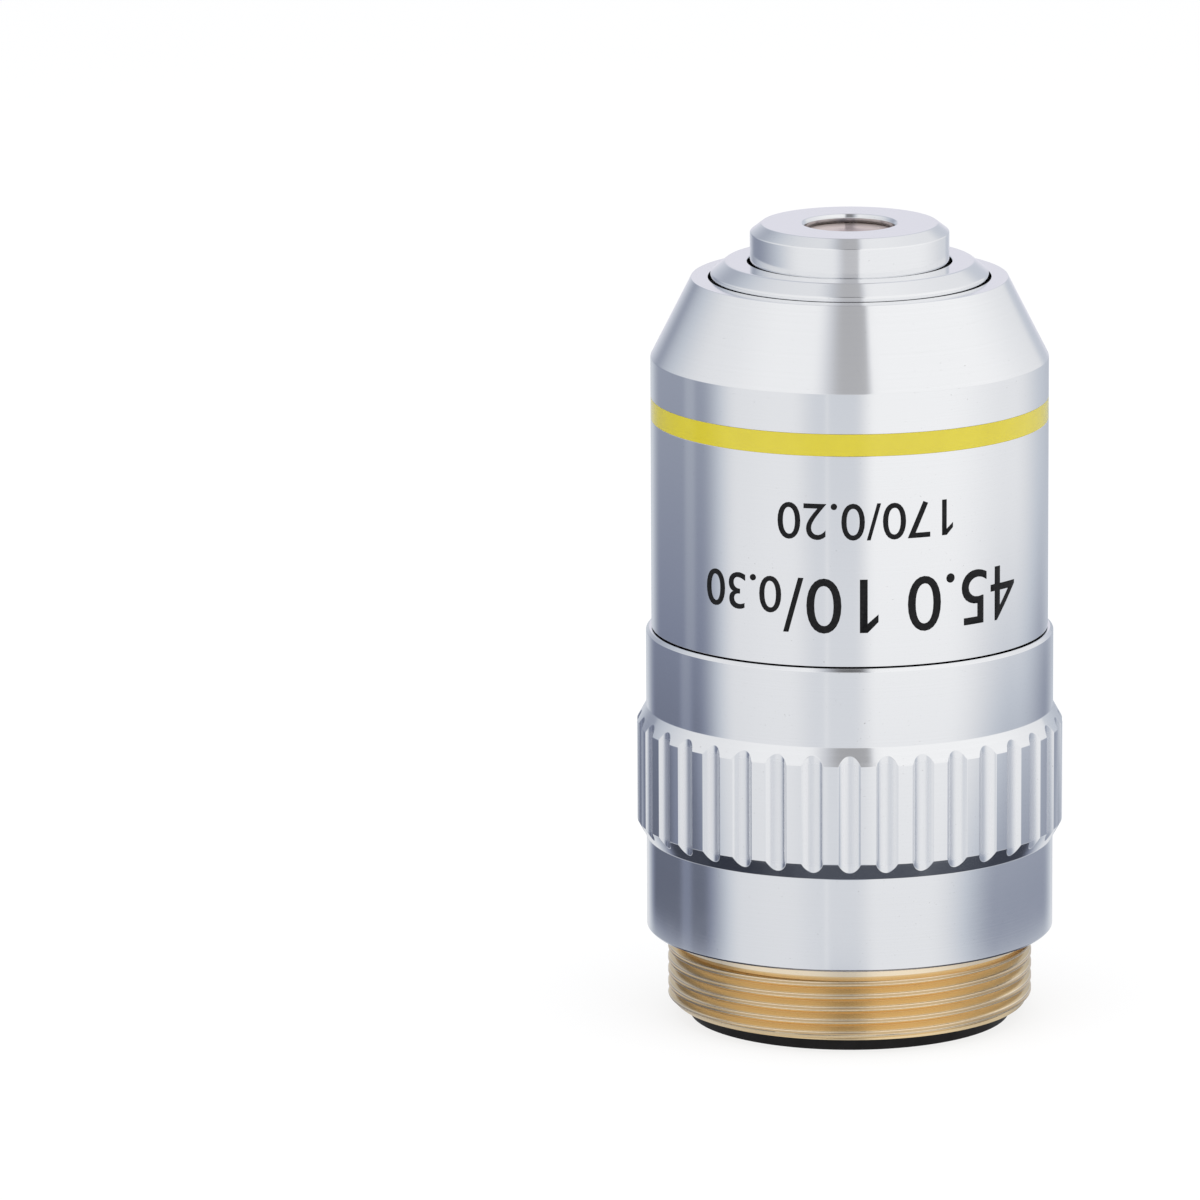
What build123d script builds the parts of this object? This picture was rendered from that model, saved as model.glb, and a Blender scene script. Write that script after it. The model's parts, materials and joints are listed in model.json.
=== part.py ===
from build123d import *
import math
import os

# A ten-power microscope objective, standing on its rear end with the nose up.
# Millimetres. The origin is the centre of the rear face, and +Z is the optical axis.

# Fits
screw_clearance = 0.02
slip_clearance = 0.02

# Standard objective thread: 0.8 inch nominal, 36 turns to the inch
thread_major_diameter = 20.27
thread_height = 4.22
thread_end_chamfer = 0.36
neck_height = 0.55
neck_relief = 0.05
runout_groove_width = 0.25
runout_groove_depth = 0.45

# Thread mount, the brass body that carries everything else
thread_wall = 1.515
spigot_wall = 1.28
mount_flange_step = 0.7
mount_flange_height = 1.2
barrel_engagement = 4.0

# Rear ring, a black light baffle screwed into the mount from behind
rear_flange_height = 0.78
rear_flange_lip = 0.28
rear_body_height = 3.4
rear_ring_wall = 1.6
rear_countersink = 0.5
rear_slot_width = 1.2
rear_slot_depth = 0.5
rear_slot_margin = 0.6

# Grip sleeve, with a fluted ring between two plain bands
band_step = 0.3
grip_step = 0.53
lower_band_height = 5.25
grip_chamfer_height = 0.95
grip_land_height = 5.5
upper_band_height = 4.4
sleeve_edge_bevel = 0.17
flute_count = 36
flute_cutter_radius = 0.8
flute_depth = 0.3

# Outer barrel, with its cone towards the nose
barrel_wall = 1.08
barrel_straight_height = 15.25
cone_height = 4.45
rim_width = 0.93
mouth_gap = 0.14
mouth_land = 1.4
cavity_step = 0.52
cavity_cone_drop = 0.4
barrel_thread_runout = 1.2
seam_recess_height = 0.09
seam_recess_depth = 0.35

# Colour band, enamel in a turned groove of the barrel
colour_band_drop = 2.23
colour_band_height = 1.22
colour_band_depth = 0.15

# Lens tube, the inner sleeve that holds the lens train
tube_rise = 0.9
tube_flange_step = 0.92
tube_flange_height = 7.0
tube_wall = 1.08
tube_bevel_width = 0.83
tube_bevel_height = 0.66
tube_lip_width = 0.95
tube_lip_height = 1.2
tube_tail = 1.8
lock_ring_height = 2.0
lock_ring_width = 1.7

# Front cell, the nose with the front aperture
nose_rise = 2.1
nose_gap = 0.15
nose_chamfer_width = 0.65
nose_chamfer_height = 0.5
aperture_diameter = 4.96
aperture_rim_bevel = 0.18
aperture_depth = 0.48
front_cell_tail = 0.5

# Front lens, a thick meniscus that is hollow towards the specimen
front_seat_width = 0.9
front_dish_margin = 0.6
front_dish_radius = 11.0
front_back_radius = 6.5
front_edge_thickness = 2.2

# Retaining rings that hold each lens in its cell
ring_step = 0.4
ring_bite = 0.35
ring_height = 0.9
ring_slot_width = 1.0
ring_slot_depth = 0.35
cell_tail = 0.2
cell_wall = 1.36
ledge_bite = 0.5
bore_step_gap = 0.06

# Middle doublet, flint towards the nose
front_spacer_height = 1.2
front_spacer_wall = 1.5
middle_ledge_height = 0.6
middle_front_radius = 40.0
middle_cement_radius = 8.5
middle_back_radius = 14.0
middle_flint_thickness = 1.0
middle_crown_edge = 0.7

# Aperture stop between the two doublets
middle_spacer_height = 1.8
middle_spacer_wall = 1.3
stop_thickness = 0.3
stop_edge_thickness = 0.1
stop_opening_diameter = 7.2

# Rear doublet, crown towards the nose
rear_ledge_height = 0.9
rear_front_radius = 16.0
rear_cement_radius = 11.0
rear_back_radius = 60.0
rear_crown_edge = 0.8
rear_flint_thickness = 1.1

# Field lens, a thick meniscus that flattens the image
rear_spacer_height = 6.6
rear_spacer_wall = 1.0
field_ledge_height = 1.2
field_front_radius = 10.0
field_dish_margin = 0.75
field_dish_radius = 8.0
field_edge_thickness = 2.4

# Stack ring, screwed into the tube behind the whole lens train
stack_ring_height = 1.8
stack_ring_width = 1.35
stack_slot_width = 1.2
stack_slot_depth = 0.6


def sag(radius, height):
    """Depth of a sphere's cap at a height from the axis."""
    return radius - math.sqrt(radius**2 - height**2)


# Heights of the outside, from the rear face up
thread_end_z = rear_flange_height
shoulder_z = thread_end_z + thread_height
grip_low_z = shoulder_z + lower_band_height
land_low_z = grip_low_z + grip_chamfer_height
land_high_z = land_low_z + grip_land_height
grip_high_z = land_high_z + grip_chamfer_height
seam_z = grip_high_z + upper_band_height
cone_z = seam_z + barrel_straight_height
rim_z = cone_z + cone_height
tube_top_z = rim_z + tube_rise
nose_top_z = tube_top_z + nose_rise
colour_high_z = cone_z - colour_band_drop
colour_low_z = colour_high_z - colour_band_height
mount_flange_top_z = shoulder_z + mount_flange_height
spigot_top_z = seam_z + barrel_engagement

# Radii, from the standard thread outwards
thread_r = thread_major_diameter / 2
mount_bore_r = thread_r - thread_wall
spigot_r = mount_bore_r + spigot_wall
mount_flange_r = spigot_r + mount_flange_step
spigot_bore_r = spigot_r + screw_clearance
barrel_r = spigot_bore_r + barrel_wall
band_r = barrel_r + band_step
grip_r = band_r + grip_step
rear_flange_r = mount_bore_r + rear_flange_lip

# Radii, from the standard thread inwards
screwed_r = mount_bore_r - screw_clearance
rear_bore_r = screwed_r - rear_ring_wall
tube_r = screwed_r - tube_flange_step
tube_bore_r = tube_r - tube_wall
cell_r = tube_bore_r - slip_clearance
tube_mouth_r = tube_bore_r - tube_lip_width
nose_r = tube_mouth_r - nose_gap
barrel_mouth_r = tube_r + mouth_gap
rim_r = barrel_mouth_r + rim_width

# Radii of the front lens in the nose
aperture_r = aperture_diameter / 2
front_lens_r = aperture_r + front_seat_width
front_ring_r = front_lens_r + ring_step

# Radii shared by the middle, rear and field cells
cell_ring_r = cell_r - cell_wall
lens_r = cell_ring_r - screw_clearance - ring_step
lens_bore_r = lens_r + slip_clearance
ledge_r = lens_r - ledge_bite
ring_hole_r = lens_r - ring_bite

# Heights of the front cell and its lens, from the nose down
lip_z = tube_top_z - tube_lip_height
front_seat_z = nose_top_z - aperture_depth
front_dish_r = front_lens_r - front_dish_margin
front_dish_z = front_seat_z - sag(front_dish_radius, front_dish_r)
front_edge_z = front_seat_z - front_edge_thickness
front_back_z = front_edge_z - sag(front_back_radius, front_lens_r)
front_ring_hole_r = front_lens_r - ring_bite
front_ring_z = front_back_z + sag(front_back_radius, front_ring_hole_r)
front_cell_z = front_ring_z - ring_height - front_cell_tail

# Heights of the middle cell and its doublet
middle_top_z = front_cell_z - front_spacer_height
middle_seat_z = middle_top_z - middle_ledge_height
middle_front_z = middle_seat_z + sag(middle_front_radius, ledge_r)
middle_cement_z = middle_front_z - middle_flint_thickness
middle_edge_z = middle_cement_z - sag(middle_cement_radius, lens_r) - middle_crown_edge
middle_back_z = middle_edge_z - sag(middle_back_radius, lens_r)
middle_ring_z = middle_back_z + sag(middle_back_radius, ring_hole_r)
middle_cell_z = middle_ring_z - ring_height - cell_tail

# Heights of the aperture stop, the rear cell and its doublet
stop_top_z = middle_cell_z - middle_spacer_height
rear_top_z = stop_top_z - stop_thickness
rear_seat_z = rear_top_z - rear_ledge_height
rear_front_z = rear_seat_z + sag(rear_front_radius, ledge_r)
rear_cement_edge_z = rear_front_z - sag(rear_front_radius, lens_r) - rear_crown_edge
rear_cement_z = rear_cement_edge_z - sag(rear_cement_radius, lens_r)
rear_back_z = rear_cement_z - rear_flint_thickness
rear_ring_z = rear_back_z + sag(rear_back_radius, ring_hole_r)
rear_cell_z = rear_ring_z - ring_height - cell_tail

# Heights of the field lens, the stack ring and the end of the tube
field_top_z = rear_cell_z - rear_spacer_height
field_seat_z = field_top_z - field_ledge_height
field_front_z = field_seat_z + sag(field_front_radius, ledge_r)
field_rim_z = field_front_z - sag(field_front_radius, lens_r) - field_edge_thickness
field_dish_r = lens_r - field_dish_margin
field_dish_z = field_rim_z + sag(field_dish_radius, field_dish_r)
field_cell_z = field_rim_z - ring_height - cell_tail
stack_ring_z = field_cell_z - stack_ring_height
tube_end_z = stack_ring_z - tube_tail
lock_ring_z = tube_end_z - lock_ring_height


def turned(*corners):
    """A solid of revolution from the (radius, height) corners of half its section."""
    outline = Polyline(*[(radius, 0, height) for radius, height in corners], close=True)
    return revolve(make_face(outline), Axis.Z)


def cap_arc(vertex_z, edge_r, edge_z):
    """Half of a lens surface, from the axis out to its edge."""
    depth = edge_z - vertex_z
    radius = (edge_r**2 + depth**2) / (2 * abs(depth))
    middle_r = edge_r / 2
    middle_z = vertex_z + math.copysign(sag(radius, middle_r), depth)
    return ThreePointArc((0, 0, vertex_z), (middle_r, 0, middle_z), (edge_r, 0, edge_z))


def ground_lens(front_arc, back_arc, *edge_corners):
    """A lens between two surfaces, with the corners of its ground edge between them."""
    front_edge = front_arc @ 1
    back_edge = back_arc @ 1
    corners = [(radius, 0, height) for radius, height in edge_corners]
    edge = Polyline(front_edge, *corners, back_edge)
    axis = Line(back_arc @ 0, front_arc @ 0)
    return revolve(make_face([front_arc, edge, back_arc, axis]), Axis.Z)


def slotted_ring(outer_r, inner_r, low_z, height, slot_width, slot_depth):
    """A screwed ring with a spanner slot across its rear face."""
    ring = turned(
        (inner_r, low_z),
        (outer_r, low_z),
        (outer_r, low_z + height),
        (inner_r, low_z + height),
    )
    slot = Box(4 * outer_r, slot_width, 2 * slot_depth)
    return ring - Pos(0, 0, low_z) * slot


def plain_ring(outer_r, wall, low_z, height):
    """A spacer tube between two cells."""
    inner_r = outer_r - wall
    return turned(
        (inner_r, low_z),
        (outer_r, low_z),
        (outer_r, low_z + height),
        (inner_r, low_z + height),
    )


def lens_cell(top_z, seat_z, ring_z, low_z):
    """A cell with a ledge before its lens and a wider bore for the retaining ring behind it."""
    step_z = ring_z + bore_step_gap
    return turned(
        (ledge_r, top_z),
        (ledge_r, seat_z),
        (lens_bore_r, seat_z),
        (lens_bore_r, step_z),
        (cell_ring_r, step_z),
        (cell_ring_r, low_z),
        (cell_r, low_z),
        (cell_r, top_z),
    )


def cell_retainer(ring_z):
    """The screwed ring behind the lens of a cell."""
    outer_r = cell_ring_r - screw_clearance
    low_z = ring_z - ring_height
    return slotted_ring(outer_r, ring_hole_r, low_z, ring_height, ring_slot_width, ring_slot_depth)


def thread_mount():
    """Brass body: the objective thread below the shoulder, a spigot for the barrel above it."""
    groove_high_z = shoulder_z - neck_height
    groove_low_z = groove_high_z - runout_groove_width
    groove_r = thread_r - runout_groove_depth
    neck_r = thread_r - neck_relief
    return turned(
        (mount_bore_r, thread_end_z),
        (thread_r - thread_end_chamfer, thread_end_z),
        (thread_r, thread_end_z + thread_end_chamfer),
        (thread_r, groove_low_z),
        (groove_r, groove_low_z),
        (groove_r, groove_high_z),
        (neck_r, groove_high_z),
        (neck_r, shoulder_z),
        (mount_flange_r, shoulder_z),
        (mount_flange_r, mount_flange_top_z),
        (spigot_r, mount_flange_top_z),
        (spigot_r, spigot_top_z),
        (mount_bore_r, spigot_top_z),
    )


def rear_ring():
    """Black ring at the rear, with two blind spanner slots that stop short of its rim."""
    body_top_z = thread_end_z + rear_body_height
    ring = turned(
        (rear_bore_r + rear_countersink, 0),
        (rear_flange_r, 0),
        (rear_flange_r, thread_end_z),
        (screwed_r, thread_end_z),
        (screwed_r, body_top_z),
        (rear_bore_r, body_top_z),
        (rear_bore_r, rear_countersink),
    )
    slot_length = 2 * (rear_flange_r - rear_slot_margin)
    return ring - Box(slot_length, rear_slot_width, 2 * rear_slot_depth)


def grip_sleeve():
    """Chromed sleeve clamped between the mount's flange and the barrel, with its flutes."""
    bore_r = spigot_r + slip_clearance
    counterbore_r = mount_flange_r + slip_clearance
    sleeve = turned(
        (counterbore_r, shoulder_z),
        (band_r, shoulder_z),
        (band_r, grip_low_z),
        (grip_r, land_low_z),
        (grip_r, land_high_z),
        (band_r, grip_high_z),
        (band_r, seam_z - sleeve_edge_bevel),
        (band_r - sleeve_edge_bevel, seam_z),
        (bore_r, seam_z),
        (bore_r, mount_flange_top_z),
        (counterbore_r, mount_flange_top_z),
    )
    cutter_path_r = grip_r + flute_cutter_radius - flute_depth
    cutter_length = grip_high_z - grip_low_z
    cutter = Cylinder(flute_cutter_radius, cutter_length)
    places = PolarLocations(cutter_path_r, flute_count)
    grip_middle_z = (grip_low_z + grip_high_z) / 2
    return sleeve - [Pos(0, 0, grip_middle_z) * place * cutter for place in places]


def outer_barrel():
    """Chromed barrel screwed on the mount's spigot, tapering to the mouth round the lens tube."""
    groove_r = barrel_r - colour_band_depth
    seam_recess_r = barrel_r - seam_recess_depth
    recess_top_z = seam_z + seam_recess_height
    cavity_r = spigot_bore_r - cavity_step
    thread_top_z = spigot_top_z + barrel_thread_runout
    return turned(
        (spigot_bore_r, seam_z),
        (seam_recess_r, seam_z),
        (seam_recess_r, recess_top_z),
        (barrel_r, recess_top_z),
        (barrel_r, colour_low_z),
        (groove_r, colour_low_z),
        (groove_r, colour_high_z),
        (barrel_r, colour_high_z),
        (barrel_r, cone_z),
        (rim_r, rim_z),
        (barrel_mouth_r, rim_z),
        (barrel_mouth_r, rim_z - mouth_land),
        (cavity_r, cone_z - cavity_cone_drop),
        (cavity_r, thread_top_z),
        (spigot_bore_r, thread_top_z),
    )


def lens_tube():
    """Inner sleeve: a bevelled front lip, a long bore for the cells, a screwed flange behind."""
    flange_top_z = tube_end_z + tube_flange_height
    return turned(
        (tube_mouth_r, lip_z),
        (tube_mouth_r, tube_top_z),
        (tube_r - tube_bevel_width, tube_top_z),
        (tube_r, tube_top_z - tube_bevel_height),
        (tube_r, flange_top_z),
        (screwed_r, flange_top_z),
        (screwed_r, tube_end_z),
        (tube_bore_r, tube_end_z),
        (tube_bore_r, lip_z),
    )


def parfocal_lock_ring():
    """Ring screwed in behind the lens tube, which locks its focus setting."""
    inner_r = screwed_r - lock_ring_width
    return slotted_ring(
        screwed_r, inner_r, lock_ring_z, lock_ring_height, stack_slot_width, stack_slot_depth
    )


def front_cell():
    """Nose of the objective, with a flange that seats behind the lip of the lens tube."""
    bore_r = front_lens_r + slip_clearance
    ring_bore_r = front_ring_r + screw_clearance
    step_z = front_ring_z + bore_step_gap
    return turned(
        (aperture_r + aperture_rim_bevel, nose_top_z),
        (nose_r - nose_chamfer_width, nose_top_z),
        (nose_r, nose_top_z - nose_chamfer_height),
        (nose_r, lip_z),
        (cell_r, lip_z),
        (cell_r, front_cell_z),
        (ring_bore_r, front_cell_z),
        (ring_bore_r, step_z),
        (bore_r, step_z),
        (bore_r, front_seat_z),
        (aperture_r, front_seat_z),
        (aperture_r, nose_top_z - aperture_rim_bevel),
    )


def front_lens():
    """Thick meniscus whose flat rim seats behind the aperture."""
    return ground_lens(
        cap_arc(front_dish_z, front_dish_r, front_seat_z),
        cap_arc(front_back_z, front_lens_r, front_edge_z),
        (front_lens_r, front_seat_z),
    )


def front_lens_ring():
    """Screwed ring that holds the front lens in the nose."""
    low_z = front_ring_z - ring_height
    return slotted_ring(
        front_ring_r, front_ring_hole_r, low_z, ring_height, ring_slot_width, ring_slot_depth
    )


def aperture_stop():
    """Thin disc with a knife edge round its opening."""
    opening_r = stop_opening_diameter / 2
    bevel = stop_thickness - stop_edge_thickness
    return turned(
        (opening_r, rear_top_z),
        (cell_r, rear_top_z),
        (cell_r, stop_top_z),
        (opening_r + bevel, stop_top_z),
        (opening_r, rear_top_z + stop_edge_thickness),
    )


def middle_doublet():
    """Flint and crown of the middle doublet, which share the cemented surface."""
    front_edge_z = middle_front_z - sag(middle_front_radius, lens_r)
    cement_edge_z = middle_cement_z - sag(middle_cement_radius, lens_r)
    front = cap_arc(middle_front_z, lens_r, front_edge_z)
    cement = cap_arc(middle_cement_z, lens_r, cement_edge_z)
    back = cap_arc(middle_back_z, lens_r, middle_edge_z)
    return ground_lens(front, cement), ground_lens(cement, back)


def rear_doublet():
    """Crown and flint of the rear doublet, which share the cemented surface."""
    front_edge_z = rear_front_z - sag(rear_front_radius, lens_r)
    back_edge_z = rear_back_z + sag(rear_back_radius, lens_r)
    front = cap_arc(rear_front_z, lens_r, front_edge_z)
    cement = cap_arc(rear_cement_z, lens_r, rear_cement_edge_z)
    back = cap_arc(rear_back_z, lens_r, back_edge_z)
    return ground_lens(front, cement), ground_lens(cement, back)


def field_lens():
    """Thick meniscus with a flat rim behind, on which its retaining ring bears."""
    front_edge_z = field_front_z - sag(field_front_radius, lens_r)
    return ground_lens(
        cap_arc(field_front_z, lens_r, front_edge_z),
        cap_arc(field_dish_z, field_dish_r, field_rim_z),
        (lens_r, field_rim_z),
    )


def colour_band():
    """Enamel ring that fills the groove of the barrel."""
    return plain_ring(barrel_r, colour_band_depth, colour_low_z, colour_band_height)


def stack_ring():
    """Screwed ring that presses the whole lens train against the lip of the tube."""
    inner_r = cell_r - stack_ring_width
    return slotted_ring(
        cell_r, inner_r, stack_ring_z, stack_ring_height, stack_slot_width, stack_slot_depth
    )


middle_flint_lens, middle_crown_lens = middle_doublet()
rear_crown_lens, rear_flint_lens = rear_doublet()

nodes = {
    "thread_mount": thread_mount(),
    "rear_ring": rear_ring(),
    "grip_sleeve": grip_sleeve(),
    "outer_barrel": outer_barrel(),
    "colour_band": colour_band(),
    "lens_tube": lens_tube(),
    "parfocal_lock_ring": parfocal_lock_ring(),
    "front_cell": front_cell(),
    "front_lens": front_lens(),
    "front_lens_ring": front_lens_ring(),
    "front_spacer": plain_ring(cell_r, front_spacer_wall, middle_top_z, front_spacer_height),
    "middle_cell": lens_cell(middle_top_z, middle_seat_z, middle_ring_z, middle_cell_z),
    "middle_flint_lens": middle_flint_lens,
    "middle_crown_lens": middle_crown_lens,
    "middle_lens_ring": cell_retainer(middle_ring_z),
    "middle_spacer": plain_ring(cell_r, middle_spacer_wall, stop_top_z, middle_spacer_height),
    "aperture_stop": aperture_stop(),
    "rear_cell": lens_cell(rear_top_z, rear_seat_z, rear_ring_z, rear_cell_z),
    "rear_crown_lens": rear_crown_lens,
    "rear_flint_lens": rear_flint_lens,
    "rear_lens_ring": cell_retainer(rear_ring_z),
    "rear_spacer": plain_ring(cell_r, rear_spacer_wall, field_top_z, rear_spacer_height),
    "field_lens_cell": lens_cell(field_top_z, field_seat_z, field_rim_z, field_cell_z),
    "field_lens": field_lens(),
    "field_lens_ring": cell_retainer(field_rim_z),
    "stack_ring": stack_ring(),
}

os.makedirs("parts", exist_ok=True)
for name, solid in nodes.items():
    export_step(solid, f"parts/{name}.step")
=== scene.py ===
# Looks of a microscope objective, dressed round its solids. Metres, in the frame of the solids.
import json
import math

import bmesh
import bpy
from mathutils import Matrix, Vector


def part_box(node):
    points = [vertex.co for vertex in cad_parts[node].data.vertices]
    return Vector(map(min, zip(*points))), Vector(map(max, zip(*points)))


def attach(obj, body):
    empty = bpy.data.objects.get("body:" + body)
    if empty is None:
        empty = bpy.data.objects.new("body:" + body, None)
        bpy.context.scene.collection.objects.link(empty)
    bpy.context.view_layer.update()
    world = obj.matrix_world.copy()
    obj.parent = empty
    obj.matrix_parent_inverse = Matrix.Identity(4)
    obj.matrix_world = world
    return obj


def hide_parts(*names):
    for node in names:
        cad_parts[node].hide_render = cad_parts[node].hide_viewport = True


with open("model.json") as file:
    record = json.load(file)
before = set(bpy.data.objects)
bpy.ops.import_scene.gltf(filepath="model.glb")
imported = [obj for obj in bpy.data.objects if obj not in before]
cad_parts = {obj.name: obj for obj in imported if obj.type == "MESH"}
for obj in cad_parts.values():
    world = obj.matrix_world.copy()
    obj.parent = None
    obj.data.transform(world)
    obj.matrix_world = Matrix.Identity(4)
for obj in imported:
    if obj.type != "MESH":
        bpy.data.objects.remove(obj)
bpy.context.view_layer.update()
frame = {"nodes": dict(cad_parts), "record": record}

MM = 0.001
FULL_TURN = 2 * math.pi


# Heights and radii that the solids give
def low_z(node):
    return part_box(node)[0].z


def high_z(node):
    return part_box(node)[1].z


def outer_r(node):
    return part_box(node)[1].x


thread_end_z = low_z("thread_mount")
shoulder_z = low_z("grip_sleeve")
seam_z = low_z("outer_barrel")
spigot_top_z = high_z("thread_mount")
colour_low_z = low_z("colour_band")
colour_high_z = high_z("colour_band")
rim_z = high_z("outer_barrel")
tube_end_z = low_z("lens_tube")
tube_top_z = high_z("lens_tube")
front_cell_z = low_z("front_cell")
nose_top_z = high_z("front_cell")
front_seat_z = high_z("front_lens")
front_back_z = low_z("front_lens")
mount_flange_r = outer_r("thread_mount")
barrel_r = outer_r("outer_barrel")
screwed_r = outer_r("lens_tube")
cell_r = outer_r("front_cell")
front_lens_r = outer_r("front_lens")

# Mount with the objective thread
thread_r = 10.135 * MM
thread_pitch = 25.4 / 36 * MM
thread_depth = 0.36 * MM
crest_width = 0.28 * MM
crest_rounding = 0.05 * MM
crest_corner_share = 0.3
crest_lip_width = 0.04 * MM
crest_lip_rise = 0.01 * MM
root_width = 0.01 * MM
thread_end_chamfer = 0.36 * MM
front_crest_z = 3.335 * MM
runout_groove_low_z = shoulder_z - 0.80 * MM
runout_groove_high_z = shoulder_z - 0.55 * MM
runout_groove_r = thread_r - 0.45 * MM
neck_r = thread_r - 0.05 * MM
mount_bore_r = 8.62 * MM
spigot_r = 9.9 * MM
mount_flange_top_z = shoulder_z + 1.2 * MM

# Grip sleeve and its flutes
band_r = barrel_r + 0.3 * MM
grip_r = band_r + 0.53 * MM
grip_low_z = shoulder_z + 5.25 * MM
grip_chamfer_height = 0.95 * MM
grip_land_height = 5.5 * MM
sleeve_edge_bevel = 0.17 * MM
sleeve_clearance = 0.02 * MM
sleeve_foot_bevel = 0.13 * MM
flute_count = 36
flute_cutter_r = 0.8 * MM
flute_depth = 0.3 * MM

# Barrel, lens tube and nose
seam_recess_height = 0.07 * MM
seam_recess_depth = 0.35 * MM
colour_band_depth = 0.15 * MM
cone_z = colour_high_z + 2.23 * MM
rim_r = 8.75 * MM
barrel_mouth_r = 7.82 * MM
mouth_land = 1.4 * MM
cavity_r = 9.4 * MM
cavity_cone_drop = 0.4 * MM
spigot_bore_r = 9.92 * MM
barrel_thread_top_z = spigot_top_z + 1.2 * MM
tube_r = 7.68 * MM
tube_bore_r = 6.6 * MM
tube_mouth_r = 5.65 * MM
tube_lip_z = tube_top_z - 1.2 * MM
tube_flange_top_z = tube_end_z + 7.0 * MM
tube_bevel_width = 0.83 * MM
tube_bevel_height = 0.66 * MM
nose_r = 5.5 * MM
nose_chamfer_width = 0.65 * MM
nose_chamfer_height = 0.5 * MM
aperture_r = front_lens_r - 0.9 * MM
aperture_rim_bevel = 0.18 * MM
front_bore_r = front_lens_r + 0.02 * MM
front_ring_bore_r = front_lens_r + 0.42 * MM
front_ring_step_z = front_cell_z + 1.46 * MM
front_dish_r = aperture_r - 0.03 * MM
front_dish_radius = 11.0 * MM
front_back_radius = 6.5 * MM

# Figures printed on the barrel
figure_azimuth = math.radians(5)
figure_rise = 0.006 * MM
figure_thickness = 0.03 * MM
figure_gap = 0.12 * MM
word_gap = 1.65 * MM
figure_strip = 0.3 * MM
figure_curve_steps = 6
flag_per_height = 0.2
flag_foot_per_stroke = 1.2
small_figure_height = 2.04 * MM
large_figure_height = 3.06 * MM
small_baseline_z = 31.2 * MM
large_baseline_z = 27.0 * MM

# Fineness of the meshes
turning_steps = 288
flute_steps = 20
thread_steps = 180
lens_arc_points = 16
seam_distance = 0.003 * MM
cut_distance = seam_distance / 10
edge_rounding = 0.05 * MM
fine_edge_rounding = 0.025 * MM
thread_edge_rounding = 0.5 * fine_edge_rounding
tube_edge_rounding = 0.08 * MM
rounding_segments = 3
rounding_angle = math.radians(20)

# Colours of the finishes, from the darker to the lighter where there are two
chrome_colour = (0.872, 0.88, 0.897)
# Painted shade down the wall of the front aperture
aperture_shade_colour = (0.2, 0.19, 0.165)
brass_colour = (0.88, 0.68, 0.40)
crest_colour = (0.68, 0.49, 0.27)
# Painted highlight on the crest edges of the thread
crest_highlight_colour = (0.99, 0.84, 0.62)
mark_colour = (0.1, 0.09, 0.08)
# Painted shade in the recess between the barrel and the grip sleeve
seam_shade_colour = (0.012, 0.012, 0.014)
enamel_colours = (0.645, 0.54, 0.002), (0.67, 0.565, 0.003)
anodised_colours = (0.006, 0.005, 0.005), (0.011, 0.01, 0.011)
ink_colours = (0.006, 0.006, 0.007), (0.012, 0.012, 0.013)
front_glass_colour = (0.97, 0.90, 0.88)
front_coating_colour = (1.0, 0.72, 0.66)
front_mirror_colour = (0.87, 0.75, 0.735)
crown_colour = (0.96, 0.98, 0.97)
flint_colour = (0.98, 0.97, 0.92)
inner_coating_colour = (0.8, 0.85, 1.0)

# Noise that the finishes share. Most of a noise lies within its spread.
noise_mean = 0.5
noise_spread = (0.3, 0.7)
fine_detail = 3.0

# Turned metal
metal_cloud_scale = 900.0
metal_cloud_roughness = 0.04
line_spread = (0.2, 0.8)
line_share = 0.015
line_roughness = 0.03
face_line_share = 0.73
speck_scale = 9000.0
speck_detail = 1.0
speck_spread = (0.76, 0.80)
speck_share = 0.3
chrome_roughness = 0.11
chrome_line_spacing = 0.09 * MM
chrome_line_depth = 0.00002 * MM
# Painted shade down the wall of the front aperture: where it fades in from the edge, and its share at
# the top and at the foot
wall_fade = (0.02 * MM, 0.06 * MM)
wall_top_share = 0.1
wall_foot_share = 0.7
grip_roughness = 0.12
grip_line_depth = 0.00004 * MM
flute_side_fade = (0.05 * MM, 0.02 * MM)
flute_side_roughness = 0.04
flute_floor_fade = (0.28 * MM, 0.12 * MM)
flute_floor_roughness = 0.16
brass_roughness = 0.25
brass_line_spacing = 0.05 * MM
brass_line_depth = 0.0004 * MM

# Depths below the crest of the thread, counted in rises of its lips
crest_flat_start = (0.3, 0.9)
crest_flat_end = (1.2, 2.0)
flank_start = (5, 8)

# Enamel, anodised metal and ink
enamel_cloud_scale = 700.0
enamel_roughness = 0.1
enamel_cloud_roughness = 0.06
enamel_index = 1.55
enamel_specular = 0.95
enamel_ripple_scale = 2500.0
enamel_ripple_depth = 0.0008 * MM
anodised_cloud_scale = 1200.0
anodised_roughness = 0.5
anodised_specular = 0.22
anodised_line_spacing = 0.06 * MM
anodised_line_roughness = 0.12
anodised_line_depth = 0.0008 * MM
ink_grain_scale = 6000.0
ink_roughness = 0.5
ink_grain_roughness = 0.2
ink_grain_depth = 0.001 * MM
ink_specular = 0.15

# Glass
glass_haze_scale = 1500.0
glass_roughness = 0.015
glass_haze_roughness = 0.02
front_glass_index = 1.62
front_mirror_roughness = 0.13
front_mirror_share = 0.95
front_slant_blend = 0.5
front_slant = (0.3, 0.75)
crown_index = 1.52
flint_index = 1.65

# Numbers of the colour sockets of a Mix node
mix_first_colour = 6
mix_second_colour = 7
mix_result_colour = 2


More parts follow.
